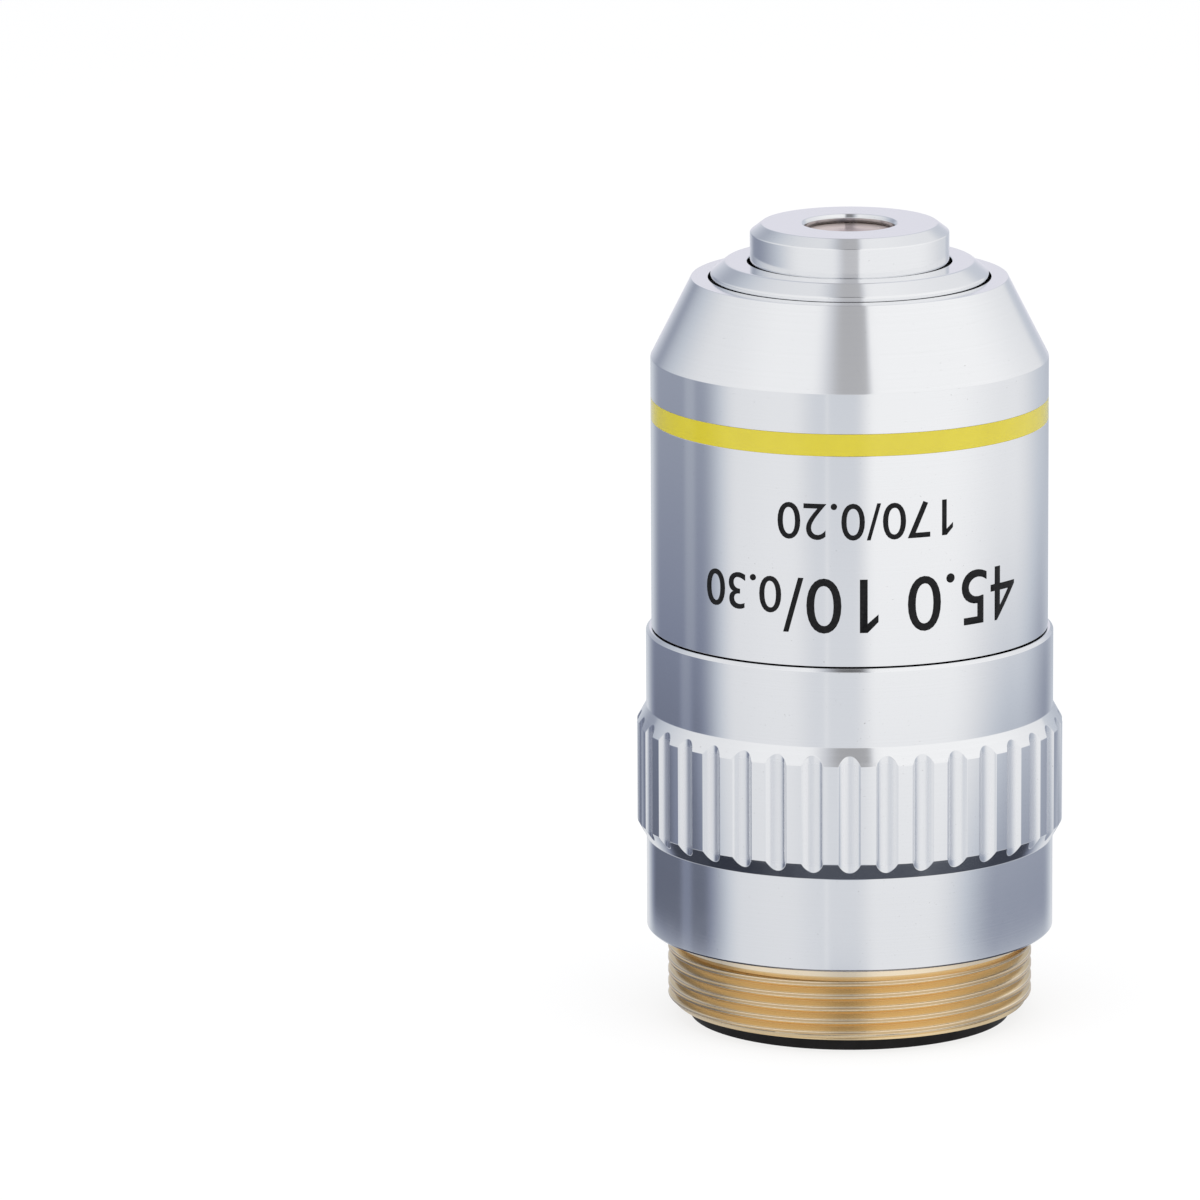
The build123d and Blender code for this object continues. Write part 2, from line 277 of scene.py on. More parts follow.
class Value:
    """A socket of a node tree. Arithmetic on a number socket adds Math nodes to its tree."""

    def __init__(self, nodes, socket):
        self.nodes = nodes
        self.socket = socket

    def other(self, name):
        return Value(self.nodes, self.socket.node.outputs[name])

    def math(self, operation, first, second=0.0):
        return self.nodes.node("ShaderNodeMath", {"operation": operation}, {0: first, 1: second})

    def rise(self, start, end):
        """0 below start and 1 above end, with a smooth step between them."""
        settings = {"interpolation_type": "SMOOTHSTEP"}
        return self.nodes.node("ShaderNodeMapRange", settings, {0: self, 1: start, 2: end})

    def __add__(self, other):
        return self.math("ADD", self, other)

    __radd__ = __add__

    def __sub__(self, other):
        return self.math("SUBTRACT", self, other)

    def __rsub__(self, other):
        return self.math("SUBTRACT", other, self)

    def __mul__(self, other):
        return self.math("MULTIPLY", self, other)

    __rmul__ = __mul__

    def __neg__(self):
        return self.math("MULTIPLY", self, -1.0)

    def __abs__(self):
        return self.math("ABSOLUTE", self)


class Nodes:
    """The node tree of a finish or of the light, with one method that adds any node."""

    def __init__(self, owner):
        owner.use_nodes = True
        self.tree = owner.node_tree
        self.tree.nodes.clear()

    def node(self, kind, settings=None, sockets=None, output=0):
        node = self.tree.nodes.new(kind)
        for name, value in (settings or {}).items():
            if name == "stops":
                self.set_stops(node.color_ramp, value)
            else:
                setattr(node, name, value)
        for name, value in (sockets or {}).items():
            if isinstance(value, Value):
                self.tree.links.new(value.socket, node.inputs[name])
            else:
                node.inputs[name].default_value = value
        return Value(self, node.outputs[output]) if node.outputs else node

    def set_stops(self, ramp, stops):
        while len(ramp.elements) < len(stops):
            ramp.elements.new(1.0)
        for element, (position, colour) in zip(ramp.elements, stops):
            element.position = position
            element.color = (*colour, 1.0)

    def mix(self, factor, first, second):
        """A colour between two colours."""
        first, second = [c if isinstance(c, Value) else (*c, 1.0) for c in (first, second)]
        sockets = {0: factor, mix_first_colour: first, mix_second_colour: second}
        return self.node("ShaderNodeMix", {"data_type": "RGBA"}, sockets, mix_result_colour)

    def place(self):
        """Object coordinates, as a vector and as x, y and z."""
        vector = self.node("ShaderNodeTexCoord", output="Object")
        x = self.node("ShaderNodeSeparateXYZ", None, {0: vector})
        return vector, x, x.other("Y"), x.other("Z")

    def noise(self, vector, scale, detail=2.0):
        sockets = {"Vector": vector, "Scale": scale, "Detail": detail}
        return self.node("ShaderNodeTexNoise", None, sockets)

    def line_noise(self, along, detail=2.0):
        """Noise that changes in one direction only."""
        settings = {"noise_dimensions": "1D"}
        return self.node("ShaderNodeTexNoise", settings, {"W": along, "Scale": 1.0, "Detail": detail})

    def bump(self, height, depth):
        return self.node("ShaderNodeBump", None, {"Height": height, "Distance": depth, "Strength": 1.0})


def finished(name, write):
    """A material whose surface shader is written by a function of its nodes."""
    material = bpy.data.materials.new(name)
    nodes = Nodes(material)
    surface = write(nodes)
    nodes.node("ShaderNodeOutputMaterial", None, {"Surface": surface})
    return material


def from_axis(nodes):
    """Distance from the optical axis, and the height."""
    x, y, z = nodes.place()[1:]
    across = nodes.node("ShaderNodeCombineXYZ", None, {0: x, 1: y})
    return nodes.node("ShaderNodeVectorMath", {"operation": "LENGTH"}, {0: across}, "Value"), z


def turning_lines(nodes, spacing):
    """Fine grooves that a lathe leaves round the axis, on sides and on end faces alike."""
    radius, z = from_axis(nodes)
    return nodes.line_noise((radius * face_line_share + z) * (1 / spacing), fine_detail)


def seam_shade_share(nodes):
    """Share of the recess between the barrel and the grip sleeve, which takes painted shade."""
    radius, z = from_axis(nodes)
    top_z = seam_z + seam_recess_height
    beside = z.rise(seam_z - seam_distance, seam_z) - z.rise(top_z, top_z + seam_distance)
    return beside * (1 - radius.rise(barrel_r - 2 * fine_edge_rounding, barrel_r - fine_edge_rounding))


def turned_metal(nodes, colour, roughness, spacing, depth):
    """Metal from the lathe: lines round the axis, a slightly uneven satin, and a few specks.

    Its colour darkens a little in the lines, and to painted shade in the seam recess of the barrel.
    """
    vector = nodes.place()[0]
    lines = turning_lines(nodes, spacing)
    clouds = nodes.noise(vector, metal_cloud_scale, fine_detail) - noise_mean
    specks = nodes.noise(vector, speck_scale, speck_detail).rise(*speck_spread)
    marks = speck_share * specks + line_share * (1 - lines.rise(*line_spread))
    sockets = {
        "Base Color": nodes.mix(marks, nodes.mix(seam_shade_share(nodes), colour, seam_shade_colour), mark_colour),
        "Metallic": 1.0,
        "Roughness": roughness + metal_cloud_roughness * clouds + line_roughness * (lines - noise_mean),
        "Normal": nodes.bump(lines, depth),
    }
    return nodes.node("ShaderNodeBsdfPrincipled", None, sockets)


def satin_chrome(nodes):
    """Chrome plate, with painted shade down the wall of the front aperture, darkest at its foot."""
    radius, z = from_axis(nodes)
    wall_top_z = nose_top_z - aperture_rim_bevel
    in_aperture = 1 - radius.rise(aperture_r + wall_fade[0], aperture_r + wall_fade[1])
    down_wall = 1 - z.rise(front_seat_z, wall_top_z)
    # Painted shade on the aperture wall, deeper towards its foot
    wall_shade = in_aperture * (wall_top_share + wall_foot_share * down_wall)
    colour = nodes.mix(wall_shade, chrome_colour, aperture_shade_colour)
    return turned_metal(nodes, colour, chrome_roughness, chrome_line_spacing, chrome_line_depth)


def grip_chrome(nodes):
    """Turned like the barrel, with milled flutes that are a little duller."""
    radius, z = from_axis(nodes)
    land_low_z = grip_low_z + grip_chamfer_height
    beside_land = z.rise(land_low_z - flute_depth, land_low_z) - z.rise(
        land_low_z + grip_land_height, land_low_z + grip_land_height + flute_depth)
    above_side = radius.rise(grip_r - flute_side_fade[0], grip_r - flute_side_fade[1])
    above_floor = radius.rise(grip_r - flute_floor_fade[0], grip_r - flute_floor_fade[1])
    in_flute = beside_land * (1 - above_side)
    on_floor = beside_land * (1 - above_floor)
    roughness = grip_roughness + flute_side_roughness * in_flute + flute_floor_roughness * on_floor
    return turned_metal(nodes, chrome_colour, roughness, chrome_line_spacing, grip_line_depth)


def turned_brass(nodes):
    """Brass whose thread has darker crest flats between crest edges with a painted highlight."""
    below_crest = (thread_r - from_axis(nodes)[0]) * (1 / crest_lip_rise)
    on_flat = below_crest.rise(*crest_flat_start) - below_crest.rise(*crest_flat_end)
    # The crest edges take a painted highlight, and the crest flats are darker
    crest = nodes.mix(on_flat, crest_highlight_colour, crest_colour)
    colour = nodes.mix(below_crest.rise(*flank_start), crest, brass_colour)
    return turned_metal(nodes, colour, brass_roughness, brass_line_spacing, brass_line_depth)


def yellow_enamel(nodes):
    vector = nodes.place()[0]
    clouds = nodes.noise(vector, enamel_cloud_scale, fine_detail)
    ripple = nodes.noise(vector, enamel_ripple_scale)
    sockets = {
        "Base Color": nodes.mix(clouds.rise(*noise_spread), *enamel_colours),
        "Roughness": enamel_roughness + enamel_cloud_roughness * (clouds - noise_mean),
        "IOR": enamel_index,
        "Specular IOR Level": enamel_specular,
        "Normal": nodes.bump(ripple, enamel_ripple_depth),
    }
    return nodes.node("ShaderNodeBsdfPrincipled", None, sockets)


def black_anodised(nodes):
    lines = turning_lines(nodes, anodised_line_spacing)
    clouds = nodes.noise(nodes.place()[0], anodised_cloud_scale, fine_detail)
    sockets = {
        "Base Color": nodes.mix(clouds.rise(*noise_spread), *anodised_colours),
        "Roughness": anodised_roughness + anodised_line_roughness * (lines - noise_mean),
        "Specular IOR Level": anodised_specular,
        "Normal": nodes.bump(lines, anodised_line_depth),
    }
    return nodes.node("ShaderNodeBsdfPrincipled", None, sockets)


def black_ink(nodes):
    grain = nodes.noise(nodes.place()[0], ink_grain_scale, fine_detail)
    sockets = {
        "Base Color": nodes.mix(grain.rise(*noise_spread), *ink_colours),
        "Roughness": ink_roughness + ink_grain_roughness * (grain - noise_mean),
        "Specular IOR Level": ink_specular,
        "Normal": nodes.bump(grain, ink_grain_depth),
    }
    return nodes.node("ShaderNodeBsdfPrincipled", None, sockets)


def lens_glass(nodes, colour, index, reflection):
    """Polished glass, with the tint that its coating gives to reflections."""
    haze = nodes.noise(nodes.place()[0], glass_haze_scale)
    sockets = {
        "Base Color": (*colour, 1.0),
        "Roughness": glass_roughness + glass_haze_roughness * haze,
        "IOR": index,
        "Transmission Weight": 1.0,
        "Specular Tint": (*reflection, 1.0),
    }
    return nodes.node("ShaderNodeBsdfPrincipled", None, sockets)


def coated_glass(nodes):
    """Glass whose coating turns to a rosy mirror where it is seen at a low angle."""
    glass = lens_glass(nodes, front_glass_colour, front_glass_index, front_coating_colour)
    sockets = {"Color": (*front_mirror_colour, 1.0), "Roughness": front_mirror_roughness}
    mirror = nodes.node("ShaderNodeBsdfGlossy", None, sockets)
    facing = nodes.node("ShaderNodeLayerWeight", None, {"Blend": front_slant_blend}, "Facing")
    mirrored = facing.rise(*front_slant) * front_mirror_share
    return nodes.node("ShaderNodeMixShader", None, {0: mirrored, 1: glass, 2: mirror})


def crown_glass(nodes):
    return lens_glass(nodes, crown_colour, crown_index, inner_coating_colour)


def flint_glass(nodes):
    return lens_glass(nodes, flint_colour, flint_index, inner_coating_colour)


finishes = {
    write.__name__: finished(write.__name__, write)
    for write in (satin_chrome, grip_chrome, turned_brass, yellow_enamel, black_anodised,
                  coated_glass, crown_glass, flint_glass, black_ink)
}


def close_up(bm):
    """Merges what meets, and turns every face outwards."""
    bmesh.ops.remove_doubles(bm, verts=bm.verts[:], dist=seam_distance)
    bmesh.ops.recalc_face_normals(bm, faces=bm.faces[:])


def turned(corners, steps=turning_steps):
    """Spins (radius, height) corners about the optical axis.

    They close to a ring unless they start on the axis.
    """
    bm = bmesh.new()
    verts = [bm.verts.new((radius, 0, height)) for radius, height in corners]
    for first, second in zip(verts, verts[1:]):
        bm.edges.new((first, second))
    if corners[0][0] > 0:
        bm.edges.new((verts[-1], verts[0]))
    bmesh.ops.spin(bm, geom=bm.verts[:] + bm.edges[:], cent=(0, 0, 0), axis=(0, 0, 1),
                   dvec=(0, 0, 0), angle=FULL_TURN, steps=steps, use_merge=True)
    close_up(bm)
    return bm


def piece(name, bm, finish, slot, *nodes):
    """Makes a mesh object that rides with the solids and stands for the nodes that it names."""
    mesh = bpy.data.meshes.new(name)
    bm.to_mesh(mesh)
    bm.free()
    mesh.shade_smooth()
    mesh.materials.append(finishes[finish])
    made = bpy.data.objects.new(name, mesh)
    bpy.context.scene.collection.objects.link(made)
    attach(made, "root")
    if nodes:
        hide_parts(*nodes)
    return made


def round_edges(made, width):
    """Small true radii on the edges, which catch the light as turned edges do."""
    bevel = made.modifiers.new("edge_rounding", "BEVEL")
    bevel.width = width
    bevel.segments = rounding_segments
    bevel.profile = 0.5
    bevel.limit_method = "ANGLE"
    bevel.angle_limit = rounding_angle
    bevel.harden_normals = True
    return made


def sag(radius, reach):
    """Depth of a sphere's cap at a distance from the axis."""
    return radius - math.sqrt(radius**2 - reach**2)


def cap(vertex_z, radius, reach):
    """Points of a lens surface from the axis to its edge. A negative radius makes it fall outwards."""
    shares = [i / lens_arc_points for i in range(lens_arc_points + 1)]
    return [(reach * s, vertex_z + math.copysign(sag(abs(radius), reach * s), radius)) for s in shares]


def chromed_barrel():
    groove_r = barrel_r - colour_band_depth
    recess_r = barrel_r - seam_recess_depth
    recess_top_z = seam_z + seam_recess_height
    bm = turned([
        (spigot_bore_r, seam_z),
        (recess_r, seam_z),
        (recess_r, recess_top_z),
        (barrel_r, recess_top_z),
        (barrel_r, colour_low_z),
        (groove_r, colour_low_z),
        (groove_r, colour_high_z),
        (barrel_r, colour_high_z),
        (barrel_r, cone_z),
        (rim_r, rim_z),
        (barrel_mouth_r, rim_z),
        (barrel_mouth_r, rim_z - mouth_land),
        (cavity_r, cone_z - cavity_cone_drop),
        (cavity_r, barrel_thread_top_z),
        (spigot_bore_r, barrel_thread_top_z),
    ])
    made = piece("chromed_barrel", bm, "satin_chrome", "satin_chrome", "outer_barrel")
    return round_edges(made, fine_edge_rounding)


def enamel_ring():
    inner_r = barrel_r - colour_band_depth
    bm = turned([
        (inner_r, colour_low_z),
        (barrel_r, colour_low_z),
        (barrel_r, colour_high_z),
        (inner_r, colour_high_z),
    ])
    made = piece("enamel_ring", bm, "yellow_enamel", "yellow_enamel", "colour_band")
    return round_edges(made, fine_edge_rounding)


def bevelled_tube():
    bm = turned([
        (tube_mouth_r, tube_lip_z),
        (tube_mouth_r, tube_top_z),
        (tube_r - tube_bevel_width, tube_top_z),
        (tube_r, tube_top_z - tube_bevel_height),
        (tube_r, tube_flange_top_z),
        (screwed_r, tube_flange_top_z),
        (screwed_r, tube_end_z),
        (tube_bore_r, tube_end_z),
        (tube_bore_r, tube_lip_z),
    ])
    made = piece("bevelled_tube", bm, "satin_chrome", "satin_chrome", "lens_tube")
    return round_edges(made, tube_edge_rounding)


def nose():
    bm = turned([
        (aperture_r + aperture_rim_bevel, nose_top_z),
        (nose_r - nose_chamfer_width, nose_top_z),
        (nose_r, nose_top_z - nose_chamfer_height),
        (nose_r, tube_lip_z),
        (cell_r, tube_lip_z),
        (cell_r, front_cell_z),
        (front_ring_bore_r, front_cell_z),
        (front_ring_bore_r, front_ring_step_z),
        (front_bore_r, front_ring_step_z),
        (front_bore_r, front_seat_z),
        (aperture_r, front_seat_z),
        (aperture_r, nose_top_z - aperture_rim_bevel),
    ])
    made = piece("nose", bm, "satin_chrome", "satin_chrome", "front_cell")
    return round_edges(made, edge_rounding)


def coated_front_lens():
    dish_z = front_seat_z - sag(front_dish_radius, front_dish_r)
    front = cap(dish_z, front_dish_radius, front_dish_r)
    back = cap(front_back_z, front_back_radius, front_lens_r)
    bm = turned(front + [(front_lens_r, front_seat_z)] + back[::-1])
    made = piece("coated_front_lens", bm, "coated_glass", "coated_glass", "front_lens")
    return round_edges(made, fine_edge_rounding)


def fluted_sleeve():
    """Sleeve whose land is drawn in to a cutter's path, so that flutes run out in the chamfers."""
    land_low_z = grip_low_z + grip_chamfer_height
    land_high_z = land_low_z + grip_land_height
    grip_high_z = land_high_z + grip_chamfer_height
    bore_r = spigot_r + sleeve_clearance
    counterbore_r = mount_flange_r + sleeve_clearance
    bm = turned([
        (counterbore_r, shoulder_z),
        (band_r - sleeve_foot_bevel, shoulder_z),
        (band_r, shoulder_z + sleeve_foot_bevel),
        (band_r, grip_low_z),
        (grip_r, land_low_z),
        (grip_r, land_high_z),
        (band_r, grip_high_z),
        (band_r, seam_z - sleeve_edge_bevel),
        (band_r - sleeve_edge_bevel, seam_z),
        (bore_r, seam_z),
        (bore_r, mount_flange_top_z),
        (counterbore_r, mount_flange_top_z),
    ], flute_count * flute_steps)
    cut_flutes(bm, land_low_z, land_high_z)
    made = piece("fluted_sleeve", bm, "grip_chrome", "grip_chrome", "grip_sleeve")
    return round_edges(made, fine_edge_rounding)


def cut_flutes(bm, land_low_z, land_high_z):
    """Moves steps of the spin to the edges of the flutes, and draws in what the cutter passes."""
    path_r = grip_r + flute_cutter_r - flute_depth
    half_pitch = FULL_TURN / flute_count / 2
    edge_cosine = (grip_r**2 + path_r**2 - flute_cutter_r**2) / (2 * grip_r * path_r)
    half_flute = math.acos(edge_cosine)
    even_half = half_pitch * round(flute_steps * half_flute / half_pitch) / flute_steps
    slope = grip_chamfer_height / (grip_r - band_r)
    for vert in bm.verts:
        radius = math.hypot(vert.co.x, vert.co.y)
        angle = math.atan2(vert.co.x, -vert.co.y)
        middle = round(angle / (2 * half_pitch)) * 2 * half_pitch
        aside = abs(angle - middle)
        if aside <= even_half:
            aside = aside * half_flute / even_half
        else:
            share = (aside - even_half) / (half_pitch - even_half)
            aside = half_flute + share * (half_pitch - half_flute)
        angle = middle + math.copysign(aside, angle - middle)
        height = vert.co.z
        if radius > grip_r - seam_distance and aside <= half_flute:
            reach = path_r * math.sin(aside)
            cut_r = path_r * math.cos(aside) - math.sqrt(max(flute_cutter_r**2 - reach**2, 0))
            drawn_in = max(radius - cut_r, 0)
            height += slope * drawn_in * (-1 if height < (land_low_z + land_high_z) / 2 else 1)
            radius -= drawn_in
        vert.co = (radius * math.sin(angle), -radius * math.cos(angle), height)


def loop_at(bm, height):
    """The open edges that lie at one height."""
    def lies_there(edge):
        return all(abs(vert.co.z - height) < seam_distance for vert in edge.verts)

    return [edge for edge in bm.edges if edge.is_boundary and lies_there(edge)]


def carry_on(bm, edges, radius, height):
    """Extrudes a loop of open edges to a circle, and returns the new loop."""
    made = bmesh.ops.extrude_edge_only(bm, edges=edges)["geom"]
    for vert in [v for v in made if isinstance(v, bmesh.types.BMVert)]:
        share = radius / math.hypot(vert.co.x, vert.co.y)
        vert.co = (vert.co.x * share, vert.co.y * share, height)
    return [e for e in made if isinstance(e, bmesh.types.BMEdge) and e.is_boundary]


def cut_level(bm, height, clear_above=False, clear_below=False):
    bmesh.ops.bisect_plane(bm, geom=bm.verts[:] + bm.edges[:] + bm.faces[:], dist=cut_distance,
                           plane_co=(0, 0, height), plane_no=(0, 0, 1),
                           clear_outer=clear_above, clear_inner=clear_below)


def thread_helix():
    """One turn's outline, wound up about the axis from below the thread to above it."""
    half_crest = crest_width / 2
    half_pitch = thread_pitch / 2
    root_r = thread_r - thread_depth
    flat_r = thread_r - crest_lip_rise
    corner = crest_corner_share * crest_rounding
    side = [
        (flat_r, half_crest - crest_rounding - crest_lip_width),
        (thread_r, half_crest - crest_rounding),
        (thread_r - corner, half_crest - corner),
        (thread_r - crest_rounding, half_crest + corner),
        (root_r, half_pitch - root_width / 2),
        (root_r, half_pitch),
    ]
    outline = [(radius, -offset) for radius, offset in side[::-1]] + side
    turns_below = math.ceil((front_crest_z - thread_end_z) / thread_pitch) + 1
    turns_above = math.ceil((runout_groove_low_z - front_crest_z) / thread_pitch) + 1
    start_z = front_crest_z - turns_below * thread_pitch
    turns = turns_below + turns_above
    bm = bmesh.new()
    verts = [bm.verts.new((0, -radius, start_z + offset)) for radius, offset in outline]
    for first, second in zip(verts, verts[1:]):
        bm.edges.new((first, second))
    bmesh.ops.spin(bm, geom=bm.verts[:] + bm.edges[:], cent=(0, 0, 0), axis=(0, 0, 1),
                   dvec=(0, 0, thread_pitch / thread_steps), angle=FULL_TURN * turns,
                   steps=turns * thread_steps)
    bmesh.ops.remove_doubles(bm, verts=bm.verts[:], dist=seam_distance)
    return bm


def threaded_mount():
    """Brass mount: a true helix between the end chamfer and the run-out groove, and the rest turned."""
    chamfer_z = thread_end_z + thread_end_chamfer
    bm = thread_helix()
    cut_level(bm, runout_groove_low_z, clear_above=True)
    cut_level(bm, thread_end_z, clear_below=True)
    cut_level(bm, chamfer_z)
    for vert in bm.verts:
        radius = math.hypot(vert.co.x, vert.co.y)
        most = thread_r - max(chamfer_z - vert.co.z, 0)
        if radius > most:
            vert.co = (vert.co.x * most / radius, vert.co.y * most / radius, vert.co.z)
    upper = loop_at(bm, runout_groove_low_z)
    for radius, height in (
        (runout_groove_r, runout_groove_low_z),
        (runout_groove_r, runout_groove_high_z),
        (neck_r, runout_groove_high_z),
        (neck_r, shoulder_z),
        (mount_flange_r, shoulder_z),
        (mount_flange_r, mount_flange_top_z),
        (spigot_r, mount_flange_top_z),
        (spigot_r, spigot_top_z),
        (mount_bore_r, spigot_top_z),
    ):
        upper = carry_on(bm, upper, radius, height)
    lower = carry_on(bm, loop_at(bm, thread_end_z), mount_bore_r, thread_end_z)
    bmesh.ops.bridge_loops(bm, edges=upper + lower)
    close_up(bm)
    made = piece("threaded_mount", bm, "turned_brass", "turned_brass", "thread_mount")
    return round_edges(made, thread_edge_rounding)


def flat_figures(body):
    """Mesh of a line of figures, lying flat from x = 0 on."""
    line = bpy.data.curves.new("figures", "FONT")
    line.body = body
    line.resolution_u = figure_curve_steps
    holder = bpy.data.objects.new("figures", line)
    bpy.context.scene.collection.objects.link(holder)
    view = bpy.context.evaluated_depsgraph_get()
    mesh = bpy.data.meshes.new_from_object(holder.evaluated_get(view))
    bpy.data.objects.remove(holder)
    bpy.data.curves.remove(line)
    return mesh


def extent(verts, axis):
    """Size of a group of vertices along one axis."""
    return max(v.co[axis] for v in verts) - min(v.co[axis] for v in verts)


def flag_ones(bm, body):
    """Gives each figure one in a line its slanting flag."""
    bar = flat_figures("1").vertices
    stroke = extent(bar, 0)
    top = max(v.co.y for v in bar)
    flag = flag_per_height * top
    for end, figure in enumerate(body, 1):
        if figure == "1":
            left = max(v.co.x for v in flat_figures(body[:end]).vertices) - stroke
            corners = [
                (left, top),
                (left - flag, top - flag),
                (left - flag, top - flag - stroke),
                (left, top - flag_foot_per_stroke * stroke),
            ]
            bm.faces.new([bm.verts.new((x, y, 0)) for x, y in corners])


def figure_line(name, runs, baseline_z):
    """Figures printed round the barrel, upside down as the objective stands.

    A run is its text, its digit height and the gap before it.
    """
    digit = extent(flat_figures("0").vertices, 1)
    bm = bmesh.new()
    width = 0
    for body, height, gap in runs:
        before = len(bm.verts)
        bm.from_mesh(flat_figures(body))
        flag_ones(bm, body)
        bm.verts.ensure_lookup_table()
        verts = bm.verts[before:]
        size = height / digit
        left = min(v.co.x for v in verts) * size
        bmesh.ops.scale(bm, vec=(size, size, 1), verts=verts)
        bmesh.ops.translate(bm, vec=(width + gap - left, 0, 0), verts=verts)
        width += gap + extent(verts, 0)
    for strip in range(1, math.ceil(width / figure_strip)):
        bmesh.ops.bisect_plane(bm, geom=bm.verts[:] + bm.edges[:] + bm.faces[:], dist=cut_distance,
                               plane_co=(strip * figure_strip, 0, 0), plane_no=(1, 0, 0))
    for vert in bm.verts:
        angle = figure_azimuth + (width / 2 - vert.co.x) / barrel_r
        radius = barrel_r + figure_rise
        vert.co = (radius * math.sin(angle), -radius * math.cos(angle), baseline_z - vert.co.y)
    bmesh.ops.recalc_face_normals(bm, faces=bm.faces[:])
    made = piece(name, bm, "black_ink", "black_anodised")
    wall = made.modifiers.new("print_thickness", "SOLIDIFY")
    wall.thickness = figure_thickness
    wall.offset = -1
    return made


def printed_figures():
    figure_line("field_figures", [("170/0.20", small_figure_height, 0)], small_baseline_z)
    runs = [
        ("45.0", large_figure_height, 0),
        ("10/", large_figure_height, word_gap),
        ("0.30", small_figure_height, figure_gap),
    ]
    figure_line("power_figures", runs, large_baseline_z)


floor_size = 1.2
floor_glow = 0.8
floor_colours = (0.95, 0.95, 0.95), (0.97, 0.97, 0.97)
floor_roughness = 0.9
floor_grain_scale = 40.0


def pale_floor(nodes):
    """White table that keeps a soft shadow, lightened for the camera alone."""
    grain = nodes.noise(nodes.place()[0], floor_grain_scale)
    sockets = {
        "Base Color": nodes.mix(grain, *floor_colours),
        "Roughness": floor_roughness,
        "Specular IOR Level": 0.0,
    }
    table = nodes.node("ShaderNodeBsdfPrincipled", None, sockets)
    glow = nodes.node("ShaderNodeEmission", None, {"Color": (1.0, 1.0, 1.0, 1.0), "Strength": 1.0})
    camera = nodes.node("ShaderNodeLightPath", output="Is Camera Ray")
    return nodes.node("ShaderNodeMixShader", None, {0: camera * floor_glow, 1: table, 2: glow})


def floor():
    bm = bmesh.new()
    bmesh.ops.create_grid(bm, x_segments=1, y_segments=1, size=floor_size)
    mesh = bpy.data.meshes.new("floor")
    bm.to_mesh(mesh)
    bm.free()
    mesh.materials.append(finished("pale_floor", pale_floor))
    made = bpy.data.objects.new("floor", mesh)
    bpy.context.scene.collection.objects.link(made)
    made.visible_glossy = False


# Tent cloth, from dark to bright, bluer where it is dim
cloth_stops = [
    (0.0, (0.0, 0.0, 0.0)),
    (0.07, (0.07, 0.078, 0.105)),
    (0.22, (0.22, 0.246, 0.33)),
    (0.58, (0.58, 0.617, 0.68)),
    (0.8, (0.80, 0.81, 0.832)),
    (1.0, (1.0, 1.0, 1.0)),
]
wall_r = 70 * MM
wall_low_z = -60 * MM
wall_high_z = 28 * MM
wall_steps = 180
table_ring_inner_r = 9.0 * MM
table_ring_outer_r = 9.95 * MM

# Levels of the cloth, from 0 for black to 1 for white, far from the object and then on the wall round it
left_panel_level = 0.78
left_behind_level = 0.28
right_panel_level = 0.94
gap_level = 0.565
overhead_fall = 0.27
wall_left_panel_level = 0.75
wall_left_behind_level = 0.13
wall_right_panel_level = 0.842
wall_right_behind_level = 0.29
wall_gap_level = 0.735
wall_streak_rise = 0.12
wall_backdrop_level = 0.62
wall_table_level = 0.76
wall_under_level = 0.05
gap_blue = 1.03
backdrop_colours = (0.60, 0.63, 0.70), (0.785, 0.78, 0.85)
under_colours = (0.08, 0.088, 0.11), (0.035, 0.04, 0.056)
table_colours = (0.62, 0.62, 0.62), (0.66, 0.66, 0.66)


def blend(level, share, target):
    """A level that goes over to another one as the share rises from 0 to 1."""
    return level + share * (target - level)


def cloth_colour(nodes, level):
    return nodes.node("ShaderNodeValToRGB", {"stops": cloth_stops}, {0: level})


def turn_from_camera(x, y):
    """Degrees round the object from the camera's side, negative to the left."""
    return x.math("ARCTAN2", x, -y) * math.degrees(1)


def panel_levels(azimuth, elevation):
    """Levels of the left and the right panel by degrees round the object and above the table."""
    high = elevation.rise(-8, 12)
    left_panel = left_panel_level + 0.06 * high + 0.11 * azimuth.rise(-100, -50)
    left_turn = azimuth + 34 * high + 16 * elevation.rise(15, 60)
    left = blend(left_behind_level, left_turn.rise(-134, -58), left_panel)
    right_fall = (0.24 - 0.08 * high) * azimuth.rise(85, 145) + 0.2 * azimuth.rise(143, 156)
    right = right_panel_level + 0.06 * high - right_fall
    return left, right


def camera_gap(around, elevation):
    """Level of the gap between the panels, which darkens upwards, overhead in front, and downwards."""
    fall = 0.05 * elevation.rise(10, 40) + 0.12 * elevation.rise(41, 45) - 0.09 * elevation.rise(80, 86)
    fall = fall + 0.12 * (1 - elevation.rise(-40, -15))
    overhead = (elevation.rise(56, 68) - elevation.rise(76, 84)) * (1 - around.rise(60, 100))
    return gap_level - (fall + overhead_fall * overhead)


